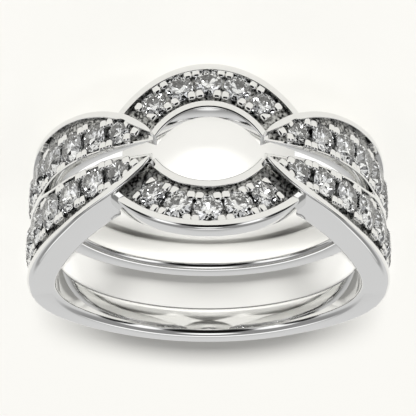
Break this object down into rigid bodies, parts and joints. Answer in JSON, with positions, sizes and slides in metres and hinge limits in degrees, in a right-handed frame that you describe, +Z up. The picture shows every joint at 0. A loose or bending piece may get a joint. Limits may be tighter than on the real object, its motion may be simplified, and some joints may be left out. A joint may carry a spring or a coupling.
{
  "type": "ring guard enhancer",
  "caption": "Ring guard enhancer: two slim polished bands with stone-set shoulders and crescents that frame an open eye for another ring's stone.",
  "frame": {"origin": "centre of the finger hole, halfway between the two bands", "axes": "the ring lies on its side: +Z up, along the finger hole apart from the small tilt of the lying ring; -Y toward the halo; X across the ring"},
  "size_m": [0.021, 0.0231, 0.0093],
  "materials": {
    "metal": "polished",
    "stone": "polished"
  },
  "bodies": {
    "root": {"metal": "metal", "halo_stone_front_1": "stone", "halo_stone_front_2": "stone", "halo_stone_front_3": "stone", "halo_stone_front_4": "stone", "halo_stone_front_5": "stone", "halo_stone_back_1": "stone", "halo_stone_back_2": "stone", "halo_stone_back_3": "stone", "halo_stone_back_4": "stone", "halo_stone_back_5": "stone", "shoulder_stone_front_left_1": "stone", "shoulder_stone_front_left_2": "stone", "shoulder_stone_front_left_3": "stone", "shoulder_stone_front_left_4": "stone", "shoulder_stone_front_left_5": "stone", "shoulder_stone_front_left_6": "stone", "shoulder_stone_front_left_7": "stone", "shoulder_stone_front_right_1": "stone", "shoulder_stone_front_right_2": "stone", "shoulder_stone_front_right_3": "stone", "shoulder_stone_front_right_4": "stone", "shoulder_stone_front_right_5": "stone", "shoulder_stone_front_right_6": "stone", "shoulder_stone_front_right_7": "stone", "shoulder_stone_back_left_1": "stone", "shoulder_stone_back_left_2": "stone", "shoulder_stone_back_left_3": "stone", "shoulder_stone_back_left_4": "stone", "shoulder_stone_back_left_5": "stone", "shoulder_stone_back_left_6": "stone", "shoulder_stone_back_left_7": "stone", "shoulder_stone_back_right_1": "stone", "shoulder_stone_back_right_2": "stone", "shoulder_stone_back_right_3": "stone", "shoulder_stone_back_right_4": "stone", "shoulder_stone_back_right_5": "stone", "shoulder_stone_back_right_6": "stone", "shoulder_stone_back_right_7": "stone"}
  },
  "joints": []
}
